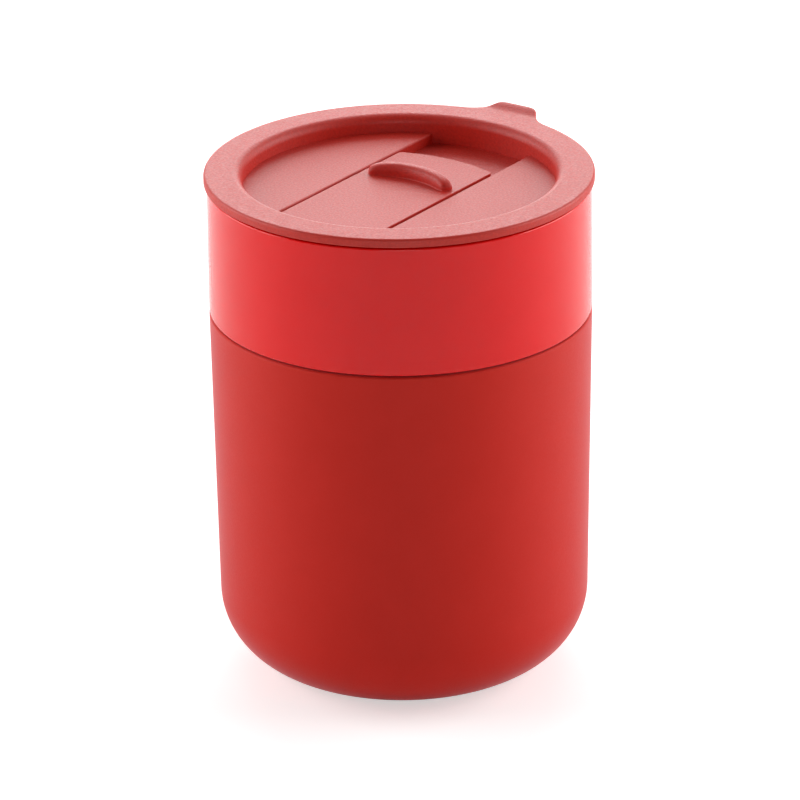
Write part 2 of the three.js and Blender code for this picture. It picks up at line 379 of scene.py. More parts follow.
def mark_edges(mesh: bmesh.types.BMesh, flat: float = 8.0, keen: float = 14.0) -> None:
    """Note on each vertex, from 0 to 1, how much it lies on a narrow outer rounding.

    Args:
        mesh: Mesh with its faces pointing outwards.
        flat: Degrees between neighbour faces up to which the share is 0.
        keen: Degrees from which the share is 1.
    """
    layer = mesh.verts.layers.float.new(EDGE_LAYER)
    for vert in mesh.verts:
        bends = [edge.calc_face_angle_signed(0) for edge in vert.link_edges if edge.is_manifold]
        sharpest = math.degrees(max(bends, default=0))
        vert[layer] = min(1, max(0, (sharpest - flat) / (keen - flat)))


class Desk:
    """Lays out shader nodes in a node tree."""

    def __init__(self, owner: bpy.types.Material | bpy.types.World) -> None:
        """Open the nodes of a material or of the surroundings.

        Args:
            owner: What the nodes belong to.
        """
        owner.use_nodes = True
        self.owner = owner
        self.nodes = owner.node_tree.nodes
        self.links = owner.node_tree.links

    @classmethod
    def material(cls, name: str) -> "Desk":
        """Start a material with its surface shader and its coordinates.

        Args:
            name: Name of the material.

        Returns:
            The desk of the new material.
        """
        desk = cls(bpy.data.materials.new(name))
        desk.shader = desk.nodes["Principled BSDF"]
        desk.place = desk.add("ShaderNodeTexCoord").outputs["Object"]
        return desk

    def finish(self, inputs: dict[str, object]) -> bpy.types.Material:
        """Set the surface shader's inputs and hand the material over.

        Args:
            inputs: Values or sockets for the shader's inputs, by name.

        Returns:
            The material.
        """
        for key, value in inputs.items():
            self.feed(self.shader, key, value)
        return self.owner

    def add(
        self, kind: str, inputs: Optional[dict[str | int, object]] = None, **settings: object
    ) -> bpy.types.Node:
        """Add one node.

        Args:
            kind: Name of the node's type.
            inputs: Values or sockets for the node's inputs, by name or number.
            **settings: Properties of the node.

        Returns:
            The new node.
        """
        node = self.nodes.new(kind)
        for key, value in settings.items():
            setattr(node, key, value)
        for key, value in (inputs or {}).items():
            self.feed(node, key, value)
        return node

    def feed(self, node: bpy.types.Node, key: str | int, value: object) -> None:
        """Set one input of a node, or join a socket to it.

        Args:
            node: Node that has the input.
            key: Name or number of the input.
            value: Value or socket for it.
        """
        if isinstance(value, bpy.types.NodeSocket):
            self.links.new(value, node.inputs[key])
        else:
            node.inputs[key].default_value = value

    def noise(self, size: float, detail: float, rough: float = 0.5) -> bpy.types.NodeSocket:
        """Lay out a noise with patches of about one size, in metres."""
        inputs = {"Vector": self.place, "Scale": 1 / size, "Detail": detail, "Roughness": rough}
        return self.add("ShaderNodeTexNoise", inputs).outputs["Fac"]

    def spread(
        self, value: bpy.types.NodeSocket, source: Span, target: Span
    ) -> bpy.types.NodeSocket:
        """Map one range of a value onto another, clamped.

        Args:
            value: Socket of the value.
            source: Ends of the value's range.
            target: What the ends become.

        Returns:
            The socket of the mapped value.
        """
        inputs = {
            "Value": value, "From Min": source[0], "From Max": source[1],
            "To Min": target[0], "To Max": target[1],
        }
        return self.add("ShaderNodeMapRange", inputs, clamp=True).outputs["Result"]

    def blend(
        self, share: bpy.types.NodeSocket, first: object, second: object
    ) -> bpy.types.NodeSocket:
        """Mix two colours or colour sockets by a share from 0 to 1."""
        inputs = {0: share, 6: first, 7: second}
        return self.add("ShaderNodeMix", inputs, data_type="RGBA").outputs[2]

    def relief(self, height: bpy.types.NodeSocket, depth: float) -> bpy.types.NodeSocket:
        """Turn a height pattern from 0 to 1 into a normal, bumped by a depth in metres."""
        inputs = {"Height": height, "Distance": depth, "Strength": 1.0}
        return self.add("ShaderNodeBump", inputs).outputs["Normal"]

    def maths(self, operation: str, *values: object) -> bpy.types.NodeSocket:
        """Join numbers or sockets by one operation."""
        return self.add("ShaderNodeMath", dict(enumerate(values)), operation=operation).outputs[0]

    def edge_wear_and_highlight(self, patch: float, most: float) -> bpy.types.NodeSocket:
        """Share of a paler edge tone, patchy along outer edges and 0 elsewhere: wear on the rubber
        and plastic, and on the glaze partly thinner glaze and partly a painted highlight.

        Args:
            patch: Size of the patches in metres.
            most: Share where the edge tone is strongest.

        Returns:
            The socket of the share.
        """
        edge = self.add("ShaderNodeAttribute", attribute_name=EDGE_LAYER).outputs["Fac"]
        patches = self.noise(patch, detail=3)
        share = self.spread(patches, EDGE_WEAR_AND_HIGHLIGHT_SPAN, (LEAST_EDGE_WEAR_AND_HIGHLIGHT * most, most))
        return self.maths("MULTIPLY", edge, share)

    def shown(self, behind: bpy.types.NodeSocket) -> bpy.types.NodeSocket:
        """Share from 0 to 1 by which rays show the background.

        Args:
            behind: Share by which mirrored rays and rays through a piece show it.

        Returns:
            The socket of the share, which is 1 for rays from the camera.
        """
        rays = self.add("ShaderNodeLightPath").outputs
        bent = self.maths("MAXIMUM", rays["Is Glossy Ray"], rays["Is Transmission Ray"])
        return self.maths("MAXIMUM", rays["Is Camera Ray"], self.maths("MULTIPLY", bent, behind))


@dataclass(frozen=True)
class Glaze:
    """Smooth coloured glaze on ceramic, a little cloudy and paler on rounded edges, partly as
    thinner glaze and partly as a painted highlight.
    """

    name: str = "red_glaze"
    thick: Colour = (0.83, 0.0025, 0.0025, 1)
    thin: Colour = (0.87, 0.0045, 0.0045, 1)
    # Paler edge colour: partly thinner glaze, partly a painted highlight on the roundings.
    edge: Colour = (0.87, 0.02, 0.018, 1)
    cloud: float = 26 * MM
    cloud_span: Span = (0.35, 0.65)
    # Patches and strength of the paler edge colour, which is partly a painted highlight.
    edge_wear_and_highlight_patch: float = 6.5 * MM
    edge_wear_and_highlight_share: float = 0.8
    ripple: float = 7 * MM
    ripple_depth: float = 0.012 * MM
    speck: float = 0.7 * MM
    roughness: Span = (0.10, 0.17)
    ior: float = 1.47

    def material(self) -> bpy.types.Material:
        """Lay out the glaze's nodes.

        Returns:
            The glaze's material.
        """
        desk = Desk.material(self.name)
        clouds = desk.spread(desk.noise(self.cloud, detail=3), self.cloud_span, (0, 1))
        body = desk.blend(clouds, self.thick, self.thin)
        # Paler edge colour on the roundings: partly thinner glaze, partly a painted highlight.
        worn = desk.edge_wear_and_highlight(self.edge_wear_and_highlight_patch, self.edge_wear_and_highlight_share)
        specks = desk.noise(self.speck, detail=2)
        ripples = desk.noise(self.ripple, detail=1)
        return desk.finish({
            "Base Color": desk.blend(worn, body, self.edge),
            "Roughness": desk.spread(specks, NOISE_SPAN, self.roughness),
            "Normal": desk.relief(ripples, self.ripple_depth),
            "IOR": self.ior,
        })


@dataclass(frozen=True)
class Silicone:
    """Matte soft rubber with a fine mould grain, a dusty sheen and rubbed edges."""

    name: str
    deep: Colour
    pale: Colour
    rubbed: Colour
    mottle: float = 9 * MM
    edge_wear_and_highlight_share: float = 0.9
    grain: float = 0.45 * MM
    grain_depth: float = 0.012 * MM
    roughness: Span = (0.56, 0.68)
    specular: float = 0.25
    sheen: float = 0.30
    sheen_roughness: float = 0.35
    sheen_tint: Colour = (1, 0.92, 1, 1)

    def material(self) -> bpy.types.Material:
        """Lay out the rubber's nodes.

        Returns:
            The rubber's material.
        """
        desk = Desk.material(self.name)
        grain = desk.noise(self.grain, detail=3, rough=0.6)
        patches = desk.noise(self.mottle, detail=4, rough=0.6)
        body = desk.blend(desk.spread(patches, NOISE_SPAN, (0, 1)), self.deep, self.pale)
        worn = desk.edge_wear_and_highlight(self.mottle, self.edge_wear_and_highlight_share)
        return desk.finish({
            "Base Color": desk.blend(worn, body, self.rubbed),
            "Roughness": desk.spread(grain, NOISE_SPAN, self.roughness),
            "Normal": desk.relief(grain, self.grain_depth),
            "Specular IOR Level": self.specular,
            "Sheen Weight": self.sheen,
            "Sheen Roughness": self.sheen_roughness,
            "Sheen Tint": self.sheen_tint,
        })


@dataclass(frozen=True)
class MouldedPlastic:
    """Moulded plastic with a spark-eroded grain and colour that is rubbed on its edges."""

    name: str
    deep: Colour = (0.50, 0.009, 0.001, 1)
    pale: Colour = (0.62, 0.015, 0.0025, 1)
    worn: Colour = (0.60, 0.02, 0.008, 1)
    mottle: float = 0.6 * MM
    edge_wear_and_highlight_patch: float = 1.8 * MM
    edge_wear_and_highlight_share: float = 0.8
    grain: float = 0.42 * MM
    grain_depth: float = 0.055 * MM
    roughness: Span = (0.44, 0.62)
    specular: float = 0.6

    def material(self) -> bpy.types.Material:
        """Lay out the plastic's nodes.

        Returns:
            The plastic's material.
        """
        desk = Desk.material(self.name)
        grain = desk.noise(self.grain, detail=2, rough=0.55)
        patches = desk.noise(self.mottle, detail=3, rough=0.6)
        body = desk.blend(desk.spread(patches, NOISE_SPAN, (0, 1)), self.deep, self.pale)
        worn = desk.edge_wear_and_highlight(self.edge_wear_and_highlight_patch, self.edge_wear_and_highlight_share)
        return desk.finish({
            "Base Color": desk.blend(worn, body, self.worn),
            "Roughness": desk.spread(grain, NOISE_SPAN, self.roughness),
            "Normal": desk.relief(grain, self.grain_depth),
            "Specular IOR Level": self.specular,
        })


@dataclass(frozen=True)
class Role:
    """What a piece is called and what it stands for."""

    name: str
    node: Node
    body: Body
    slot: Slot
    crease: float = 35.0

    def publish(self, mesh: bmesh.types.BMesh, finish: bpy.types.Material) -> None:
        """Make a finished object of a mesh and tie it to the frame.

        Args:
            mesh: The modelled shape, which is freed.
            finish: Material of the whole piece.
        """
        weld(mesh)
        bmesh.ops.recalc_face_normals(mesh, faces=mesh.faces[:])
        mark_edges(mesh)
        for face in mesh.faces:
            face.smooth = True
        data = bpy.data.meshes.new(self.name)
        mesh.to_mesh(data)
        mesh.free()
        data.set_sharp_from_angle(angle=math.radians(self.crease))
        data.materials.append(finish)
        piece = bpy.data.objects.new(self.name, data)
        bpy.context.scene.collection.objects.link(piece)
        even = piece.modifiers.new("even_shading", "WEIGHTED_NORMAL")
        even.keep_sharp = True
        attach(piece, self.body.value)
        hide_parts(self.node.value)
        log.info("%s: %d faces, rides on %s", self.name, len(data.polygons), self.body.value)


@dataclass
class Vessel:
    """Glazed cup and the soft sleeve round its lower part."""

    seam_gap: float = 0.4 * MM
    seam_rounding: float = 0.5 * MM
    seat_gap: float = 0.3 * MM
    sleeve_wall: float = 1.8 * MM
    sleeve_floor: float = 2.4 * MM
    sleeve_draft: float = 0.78
    base_corner: float = 16.7 * MM
    cup_wall: float = 3.3 * MM
    cup_floor: float = 5.2 * MM
    band_draft: float = 0.25
    bore_draft: float = 0.7
    bore_corner: float = 11 * MM
    brim_outside: float = 0.3 * MM
    brim_inside: float = 1.8 * MM
    foot_ring: Span = (20.5 * MM, 25.5 * MM)
    foot_recess: float = 1 * MM
    cup: Extent = field(default_factory=lambda: Extent.of(Node.CUP))
    sleeve: Extent = field(default_factory=lambda: Extent.of(Node.SLEEVE))

    def __post_init__(self) -> None:
        """Work out the radii and heights that the two pieces share."""
        self.radius = self.cup.high.x
        self.seam = self.sleeve.high.z + self.seam_gap / 2
        self.sleeve_inside = self.radius - self.sleeve_wall
        self.seat = self.sleeve_inside - self.seat_gap
        self.bore = self.seat - self.cup_wall

    def bore_at(self, height: float) -> float:
        """Radius of the bore at a height."""
        return self.bore + math.tan(math.radians(self.bore_draft)) * (height - self.seam)

    def build_cup(self) -> bmesh.types.BMesh:
        """Turn the cup: foot ring, heel, seat, shoulder, band, brim, bore and floor.

        Returns:
            The cup's mesh.
        """
        mesh = bmesh.new()
        pen = Pen(mesh)
        bottom = self.cup.low.z
        brim = self.cup.high.z
        floor = bottom + self.cup_floor
        shoulder = self.seam + self.seam_gap / 2
        heel_radius = self.base_corner - self.sleeve_wall - self.seat_gap
        heel = Heel.fit((self.seat, self.seam), self.sleeve_draft, bottom, heel_radius)
        well = Heel.fit((self.bore, self.seam), self.bore_draft, floor, self.bore_corner)
        inner, outer = self.foot_ring
        recess = inner - 2 * self.foot_recess
        pen.line(0, bottom + self.foot_recess)
        pen.line(recess, bottom + self.foot_recess)
        pen.arc(recess, bottom, -45)
        pen.line(inner, bottom)
        pen.line(min(outer, heel.centre_r), bottom)
        heel.climb(pen)
        pen.line(self.seat, shoulder)
        band_foot = self.radius - self.seam_rounding
        pen.line(band_foot, shoulder)
        pen.arc(band_foot, shoulder + self.seam_rounding, 90 + self.band_draft)
        lean = math.tan(math.radians(self.band_draft))
        edge_z = brim - self.brim_outside
        edge_r = self.radius - lean * (edge_z - self.seam)
        pen.line(edge_r, edge_z)
        pen.arc(edge_r - self.brim_outside, edge_z, 90)
        inside_z = brim - self.brim_inside
        inside_r = self.bore_at(inside_z) + self.brim_inside
        pen.line(inside_r, brim)
        pen.arc(inside_r, inside_z, 90)
        well.descend(pen)
        pen.line(0, floor)
        turn(mesh)
        return mesh

    def build_sleeve(self) -> bmesh.types.BMesh:
        """Turn the sleeve: flat base, round base corner, drafted wall and eased top edge.

        Returns:
            The sleeve's mesh.
        """
        mesh = bmesh.new()
        pen = Pen(mesh)
        top = self.sleeve.high.z
        wall = (self.radius, self.seam)
        outside = Heel.fit(wall, self.sleeve_draft, self.sleeve.low.z, self.base_corner)
        floor = self.sleeve.low.z + self.sleeve_floor
        inner_corner = self.base_corner - self.sleeve_wall
        inside = Heel.fit((self.sleeve_inside, self.seam), self.sleeve_draft, floor, inner_corner)
        pen.line(0, self.sleeve.low.z)
        outside.climb(pen)
        pen.line(self.radius, top - self.seam_rounding)
        pen.arc(self.radius - self.seam_rounding, top - self.seam_rounding, 90)
        pen.line(self.sleeve_inside, top)
        inside.descend(pen)
        pen.line(0, floor)
        turn(mesh)
        return mesh

    def dress(self) -> None:
        """Build both pieces and give them their finishes."""
        rubber = Silicone(
            "red_sleeve_rubber",
            deep=(0.60, 0.0135, 0.0045, 1),
            pale=(0.62, 0.015, 0.006, 1),
            rubbed=(0.63, 0.023, 0.013, 1),
        )
        cup = Role("glazed_cup", Node.CUP, Body.CUP, Slot.GLAZE)
        cup.publish(self.build_cup(), Glaze().material())
        sleeve = Role("soft_sleeve", Node.SLEEVE, Body.CUP, Slot.SLEEVE)
        sleeve.publish(self.build_sleeve(), rubber.material())


@dataclass
class Lid:
    """Moulded lid with rim, well, channel, rails, drink hole, plug and pull tab, and its ring."""

    cover: "Slider"
    rim_thickness: float = 1.95 * MM
    rim_top: float = 0.6 * MM
    rim_foot: float = 0.3 * MM
    plug_wall: float = 1.65 * MM
    skirt_wall: float = 2.4 * MM
    well_depth: float = 3.95 * MM
    lip: float = 2 * MM
    floor: float = 2 * MM
    skirt_rounding: float = 0.6 * MM
    groove_foot: float = 1.1 * MM
    groove_height: float = 3.4 * MM
    groove_depth: float = 0.9 * MM
    channel_half: float = 13 * MM
    channel_depth: float = 2.4 * MM
    land_edge: float = 0.35 * MM
    rail_depth: float = 1.1 * MM
    rail_height: float = 1.6 * MM
    rail_wall: float = 1.6 * MM
    run_gap: float = 0.3 * MM
    slider_end_gap: float = 0.4 * MM
    hole_width: float = 17 * MM
    hole_margin: float = 4.75 * MM
    hole_reveal: float = 1 * MM
    hole_rounding: float = 0.4 * MM
    tab_half: float = 6 * MM
    tab_root: float = 9.8 * MM
    tab_corner: float = 3.3 * MM
    tab_lip: float = 0.75 * MM
    tab_lip_run: float = 4.2 * MM
    tab_lip_crest: float = 0.5 * MM
    ring_band: float = 0.7 * MM
    ring_lips: int = 2
    ring_lip_root: float = 0.9 * MM
    ring_lip_tip: float = 0.45 * MM
    ring_lip_rise: float = 0.45 * MM
    shell: Extent = field(default_factory=lambda: Extent.of(Node.LID))
    ring: Extent = field(default_factory=lambda: Extent.of(Node.GASKET))

    def __post_init__(self) -> None:
        """Work out the radii and heights from the frame and the slider."""
        self.rim = self.shell.high.x
        self.top = self.shell.high.z - self.tab_lip
        self.rim_under = self.top - self.rim_thickness
        self.land = self.top - self.well_depth
        self.channel = self.land - self.channel_depth
        self.land_under = self.land - self.floor
        self.trough_under = self.channel - self.floor
        self.skirt = self.shell.low.z
        self.well = self.cover.end + self.slider_end_gap
        self.plug = self.well + self.plug_wall
        self.skirt_inside = self.plug - self.skirt_wall
        self.groove = self.plug - self.groove_depth
        self.trough_half = self.channel_half + self.rail_depth + self.rail_wall
        self.hole_length = self.cover.travel - self.hole_margin - self.hole_reveal

    def build_shell(self) -> bmesh.types.BMesh:
        """Model the whole lid, from its rim to its tab's lip.

        Returns:
            The lid's mesh.
        """
        mesh = bmesh.new()
        self.shape_rim(mesh)
        self.shape_well(mesh)
        self.shape_plug(mesh)
        self.shape_channel(mesh)
        self.shape_trough(mesh)
        self.shape_hole(mesh)
        self.shape_rails(mesh)
        self.shape_tab_lip(mesh)
        return mesh

    def flare_centre(self, corner: Vector) -> Vector:
        """Find the centre of the arc that joins the tab's corner to the rim's edge.

        Args:
            corner: Centre of the tab's corner arc.

        Returns:
            The centre of an arc that touches the corner's arc and the rim.
        """
        away = self.rim + self.tab_root
        apart = self.tab_corner + self.tab_root
        along = (corner.length_squared + away**2 - apart**2) / (2 * corner.length)
        aside = math.sqrt(away**2 - along**2)
        line = corner.normalized()
        return line * along + Vector((line.y, -line.x)) * aside

    def shape_rim(self, mesh: bmesh.types.BMesh) -> None:
        """Raise the rim and tab from their outline, round their edges and open both flat sides.

        Args:
            mesh: The lid's mesh, still empty.
        """
        end = self.shell.high.y
        corner = Vector((self.tab_half - self.tab_corner, end - self.tab_corner))
        root = self.flare_centre(corner)
        flare = math.degrees(math.atan2(root.y, root.x))
        flank = math.degrees(math.atan2(root.y - corner.y, root.x - corner.x))
        start = root * (self.rim / root.length)
        pen = Pen(mesh, Plane.PLAN, self.rim_under)
        pen.line(-start.x, start.y)
        pen.arc(0, 0, 180 + 2 * flare, ROUND_STEPS)
        pen.arc(root.x, root.y, flank - flare)
        pen.arc(corner.x, corner.y, 90 - flank)
        pen.line(-corner.x, end)
        pen.arc(-corner.x, corner.y, 90 - flank)
        pen.arc(-root.x, root.y, flank - flare)
        under = close_outline(mesh)
        upper = push(mesh, under, Vector((0, 0, self.rim_thickness)))
        soften(mesh, upper.edges, self.rim_top, segments=6)
        under = max(faces_level(mesh, self.rim_under), key=lambda f: len(f.verts))
        soften(mesh, under.edges, self.rim_foot, segments=4)
        flats = faces_level(mesh, self.rim_under) + faces_level(mesh, self.top)
        bmesh.ops.delete(mesh, geom=flats, context="FACES_ONLY")

    def shape_well(self, mesh: bmesh.types.BMesh) -> None:
        """Turn the rounded lip and the well's wall, and join them to the rim's top.

        Args:
            mesh: The lid's mesh so far.
        """
        pen = Pen(mesh)
        pen.line(self.well + self.lip, self.top)
        pen.arc(self.well + self.lip, self.top - self.lip, 90, 2 * ARC_STEPS)
        pen.line(self.well, self.land)
        turn(mesh)
        fill_level(mesh, self.top)

    def shape_plug(self, mesh: bmesh.types.BMesh) -> None:
        """Turn the plug, the ring's groove and the skirt, and join them to the rim's underside.

        Args:
            mesh: The lid's mesh so far.
        """
        low = self.skirt + self.groove_foot
        high = low + self.groove_height
        foot = self.skirt + self.skirt_rounding
        pen = Pen(mesh)
        pen.line(self.plug, self.rim_under)
        pen.line(self.plug, high)
        pen.line(self.groove, high)
        pen.line(self.groove, low)
        pen.line(self.plug, low)
        pen.line(self.plug, foot)
        pen.arc(self.plug - self.skirt_rounding, foot, -90)
        pen.line(self.skirt_inside + self.skirt_rounding, self.skirt)
        pen.arc(self.skirt_inside + self.skirt_rounding, foot, -90)
        pen.line(self.skirt_inside, self.trough_under)
        pen.line(self.skirt_inside, self.land_under)
        turn(mesh)
        fill_level(mesh, self.rim_under)

    def shape_channel(self, mesh: bmesh.types.BMesh) -> None:
        """Floor the well and sink the slider's channel between two lands with eased edges.

        Args:
            mesh: The lid's mesh so far.
        """
        bmesh.ops.contextual_create(mesh, geom=rims_level(mesh, self.land))
        for side in Side:
            for step in range(ARC_STEPS // 2 + 1):
                turned = 0.5 * math.pi * step / (ARC_STEPS // 2)
                row = self.channel_half + self.land_edge * (1 - math.cos(turned))
                cut(mesh, faces_level(mesh, self.land), X_AXIS, side.value * row)
        strip = middle_level(mesh, self.land)
        push(mesh, strip, Vector((0, 0, -self.channel_depth)))
        for vert in mesh.verts:
            inset = abs(vert.co.x) - self.channel_half
            if abs(vert.co.z - self.land) < LEVEL and -LEVEL < inset < self.land_edge:
                across = 1 - max(inset, 0) / self.land_edge
                vert.co.z -= self.land_edge * (1 - math.sqrt(max(0, 1 - across**2)))

    def shape_trough(self, mesh: bmesh.types.BMesh) -> None:
        """Close the lands' underside and let the channel's down, out to the skirt.

        Args:
            mesh: The lid's mesh so far.
        """
        bmesh.ops.contextual_create(mesh, geom=rims_level(mesh, self.land_under))
        for side in Side:
            under = faces_level(mesh, self.land_under) + self.skirt_band(mesh)
            cut(mesh, under, X_AXIS, side.value * self.trough_half)
        strip = middle_level(mesh, self.land_under)
        push(mesh, strip, Vector((0, 0, self.trough_under - self.land_under)))
        inner = self.trough_half - LEVEL
        hidden = [f for f in self.skirt_band(mesh) if abs(f.calc_center_median().x) < inner]
        bmesh.ops.delete(mesh, geom=hidden, context="FACES")
        weld(mesh)

    def skirt_band(self, mesh: bmesh.types.BMesh) -> list[bmesh.types.BMFace]:
        """List the upright faces inside the skirt, from the trough's underside to the lands'.

        Args:
            mesh: The lid's mesh so far.

        Returns:
            The faces.
        """
        band = []
        for face in mesh.faces:
            heights = [vert.co.z for vert in face.verts]
            low, high = min(heights), max(heights)
            within = self.trough_under - LEVEL < low and high < self.land_under + LEVEL
            upright = high - low > LEVEL
            if within and upright and all(self.on_skirt(vert) for vert in face.verts):
                band.append(face)
        return band

    def on_skirt(self, vert: bmesh.types.BMVert) -> bool:
        """Tell whether a vertex lies on the skirt's inside, or on a facet of it."""
        return abs(vert.co.xy.length - self.skirt_inside) < FACET_SLACK

    def shape_hole(self, mesh: bmesh.types.BMesh) -> None:
        """Cut the drink hole, an oblong with a rounded upper edge, through the channel's floor.

        Args:
            mesh: The lid's mesh so far.
        """
        flats = faces_level(mesh, self.channel) + faces_level(mesh, self.trough_under)
        bmesh.ops.delete(mesh, geom=flats, context="FACES_ONLY")
        radius = self.hole_length / 2 + self.hole_rounding
        offset = self.hole_width / 2 - self.hole_length / 2
        middle = self.hole_margin + self.hole_length / 2 - self.well
        pen = Pen(mesh, Plane.PLAN, self.channel)
        pen.line(offset, middle - radius)
        pen.arc(offset, middle, 180, 3 * ARC_STEPS)
        pen.line(-offset, middle + radius)
        pen.arc(-offset, middle, 180, 3 * ARC_STEPS)
        mouth = close_outline(mesh)
        steps = ARC_STEPS // 2
        arcs = [0.5 * math.pi * step / steps for step in range(steps + 1)]
        for before, after in zip(arcs, arcs[1:]):
            inward = self.hole_rounding * (math.sin(after) - math.sin(before))
            down = self.hole_rounding * (math.cos(before) - math.cos(after))
            bmesh.ops.inset_region(
                mesh, faces=[mouth], thickness=inward, use_boundary=True, use_even_offset=True
            )
            bmesh.ops.translate(mesh, verts=mouth.verts[:], vec=(0, 0, -down))
        depth = self.trough_under - mouth.calc_center_median().z
        bottom = push(mesh, mouth, Vector((0, 0, depth)))
        bmesh.ops.delete(mesh, geom=[bottom], context="FACES_ONLY")
        fill_level(mesh, self.channel)
        fill_level(mesh, self.trough_under)

    def shape_rails(self, mesh: bmesh.types.BMesh) -> None:
        """Undercut the channel's side walls for the slider's tongues.

        Args:
            mesh: The lid's mesh so far.
        """
        front = self.cover.tongue_front - self.run_gap
        back = self.cover.tongue_back + self.cover.travel + self.run_gap
        for side in Side:
            wall, depth = side.value * self.channel_half, side.value * self.rail_depth
            side_pocket(mesh, wall, (front, back), self.channel + self.rail_height, depth)

    def shape_tab_lip(self, mesh: bmesh.types.BMesh) -> None:
        """Let the tab's upper side swell up gently into a finger lip at its end.

        Args:
            mesh: The lid's mesh so far.
        """
        start = self.shell.high.y - self.tab_lip_run
        run = self.tab_lip_run - self.tab_lip_crest
        rows = 2 * ARC_STEPS
        for row in range(rows + 1):
            tab = [f for f in mesh.faces if any(v.co.y > self.rim for v in f.verts)]
            cut(mesh, tab, Y_AXIS, start + run * row / rows)
        waist = self.rim_under + self.rim_thickness / 2
        for vert in mesh.verts:
            if vert.co.y > start and vert.co.z > waist:
                share = min(1, (vert.co.y - start) / run)
                vert.co.z += self.tab_lip * 0.5 * (1 - math.cos(math.pi * share))

    def build_ring(self) -> bmesh.types.BMesh:
        """Turn the sealing ring: a band with leaning lips that have round tips.

        Returns:
            The ring's mesh.
        """
        mesh = bmesh.new()
        pen = Pen(mesh)
        inside = self.groove + self.run_gap
        outside = inside + self.ring_band
        reach = self.ring.high.x
        low = self.ring.low.z
        high = self.ring.high.z
        pitch = (high - low) / self.ring_lips
        tip = self.ring_lip_tip / 2
        pen.line(inside, low)
        pen.line(outside, low)
        for lip in range(self.ring_lips):
            middle = low + pitch * (lip + 0.5)
            pen.line(outside, middle - self.ring_lip_root / 2)
            pen.line(reach - tip, middle + self.ring_lip_rise - tip)
            pen.arc(reach - tip, middle + self.ring_lip_rise, 180)
            pen.line(outside, middle + self.ring_lip_root / 2)
        pen.line(outside, high)
        pen.line(inside, high)
        pen.line(inside, low)
        weld(mesh)
        turn(mesh)
        return mesh

    def dress(self) -> None:
        """Build the lid and its ring and give them their finishes."""
        rubber = Silicone(
            "red_ring_rubber",
            deep=(0.46, 0.020, 0.014, 1),
            pale=(0.50, 0.026, 0.018, 1),
            rubbed=(0.54, 0.04, 0.03, 1),
        )
        plastic = MouldedPlastic("red_lid_plastic").material()
        shell = Role("lid_shell", Node.LID, Body.LID, Slot.LID)
        shell.publish(self.build_shell(), plastic)
        ring = Role("seal_ring", Node.GASKET, Body.LID, Slot.GASKET)
        ring.publish(self.build_ring(), rubber.material())


